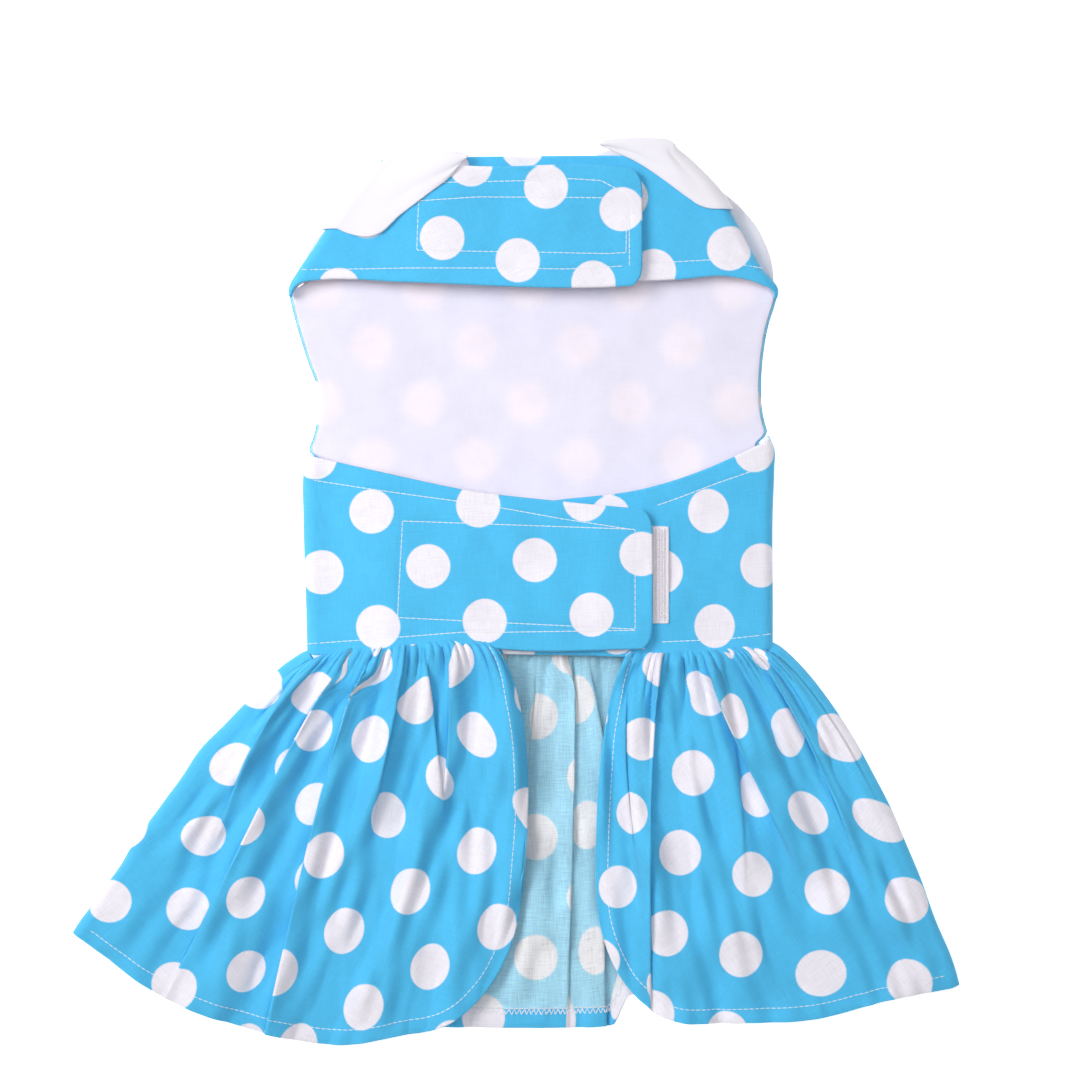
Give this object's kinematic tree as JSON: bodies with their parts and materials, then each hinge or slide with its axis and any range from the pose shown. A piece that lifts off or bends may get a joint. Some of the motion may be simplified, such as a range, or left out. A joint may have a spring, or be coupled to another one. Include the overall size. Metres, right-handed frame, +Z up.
{
  "type": "dog dress",
  "caption": "Sleeveless cotton dog dress lying belly side up, with a white turned-out collar, fastened neck and belly flaps and a gathered flared skirt open at the front.",
  "frame": {"origin": "on the surface that the dress lies on, below the middle of its bounding box", "axes": "+X to the right as seen from above, +Y from the hem to the neck, +Z up, out of the belly side"},
  "size_m": [0.4088, 0.4186, 0.0186],
  "materials": {
    "dress_cloth": "plain woven sky-blue cotton with a regular white polka dot print, matt",
    "lining_cloth": "thin plain white cotton lining, matt",
    "collar_cloth": "smooth white cotton, double layer, matt",
    "hook_tape": "white hook tape with rows of small nylon hooks",
    "loop_tape": "white brushed nylon loop tape"
  },
  "bodies": {
    "root": {"bodice_back": "dress_cloth", "bodice_lining": "lining_cloth", "neck_flap_left": "dress_cloth", "neck_flap_right": "dress_cloth", "belly_flap_left": "dress_cloth", "belly_flap_right": "dress_cloth", "belly_hook_pad": "hook_tape", "belly_loop_pad": "loop_tape", "neck_hook_pad": "hook_tape", "neck_loop_pad": "loop_tape", "collar_left": "collar_cloth", "collar_right": "collar_cloth", "skirt": "dress_cloth"}
  },
  "joints": []
}
